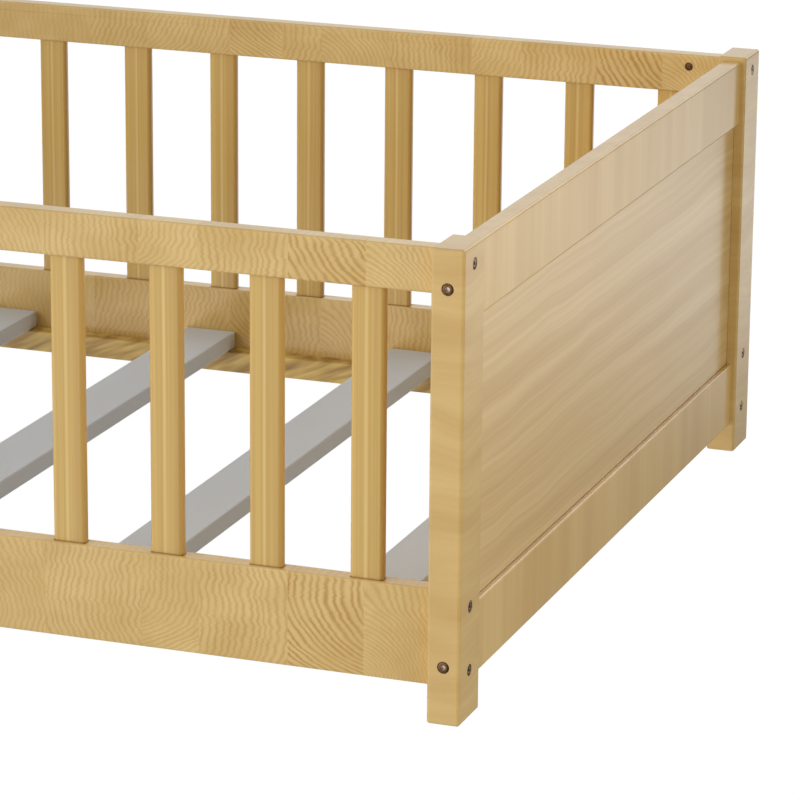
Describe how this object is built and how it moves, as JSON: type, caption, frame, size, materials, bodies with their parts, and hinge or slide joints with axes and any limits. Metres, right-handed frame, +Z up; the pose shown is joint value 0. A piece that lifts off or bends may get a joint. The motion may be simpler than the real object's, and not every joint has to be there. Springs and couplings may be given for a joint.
{
  "type": "platform bed",
  "caption": "Low child's platform bed in natural pine: posts and panelled ends bolted to slatted guard fences, with grey painted slats on side cleats to carry a twin mattress.",
  "frame": {"origin": "on the floor under the middle of the bed", "axes": "+X along the length towards the right end, +Y across towards the back fence, +Z up"},
  "size_m": [1.98, 1.094, 0.496],
  "materials": {
    "pine": "clear satin lacquer",
    "grey_paint": "matte paint",
    "bronzed_steel": "dark bronze plating",
    "dowel_wood": "bare hardwood"
  },
  "bodies": {
    "root": {"barrel_nuts": "bronzed_steel", "bolts": "bronzed_steel", "cleat_screws": "bronzed_steel", "end_bottom_rail_left": "pine", "end_bottom_rail_right": "pine", "end_panel_left": "pine", "end_panel_right": "pine", "end_top_rail_left": "pine", "end_top_rail_right": "pine", "guard_rail_back": "pine", "guard_rail_front": "pine", "post_back_left": "pine", "post_back_right": "pine", "post_front_left": "pine", "post_front_right": "pine", "side_rail_back": "pine", "side_rail_front": "pine", "slat_1": "grey_paint", "slat_2": "grey_paint", "slat_3": "grey_paint", "slat_4": "grey_paint", "slat_5": "grey_paint", "slat_6": "grey_paint", "slat_7": "grey_paint", "slat_cleat_back": "pine", "slat_cleat_front": "pine", "spindle_back_01": "pine", "spindle_back_02": "pine", "spindle_back_03": "pine", "spindle_back_04": "pine", "spindle_back_05": "pine", "spindle_back_06": "pine", "spindle_back_07": "pine", "spindle_back_08": "pine", "spindle_back_09": "pine", "spindle_back_10": "pine", "spindle_back_11": "pine", "spindle_back_12": "pine", "spindle_back_13": "pine", "spindle_back_14": "pine", "spindle_back_15": "pine", "spindle_back_16": "pine", "spindle_front_01": "pine", "spindle_front_02": "pine", "spindle_front_03": "pine", "spindle_front_04": "pine", "spindle_front_05": "pine", "spindle_front_06": "pine", "spindle_front_07": "pine", "spindle_front_08": "pine", "spindle_front_09": "pine", "spindle_front_10": "pine", "spindle_front_11": "pine", "spindle_front_12": "pine", "spindle_front_13": "pine", "spindle_front_14": "pine", "spindle_front_15": "pine", "spindle_front_16": "pine", "spindle_front_17": "pine", "wood_dowels": "dowel_wood"}
  },
  "joints": []
}
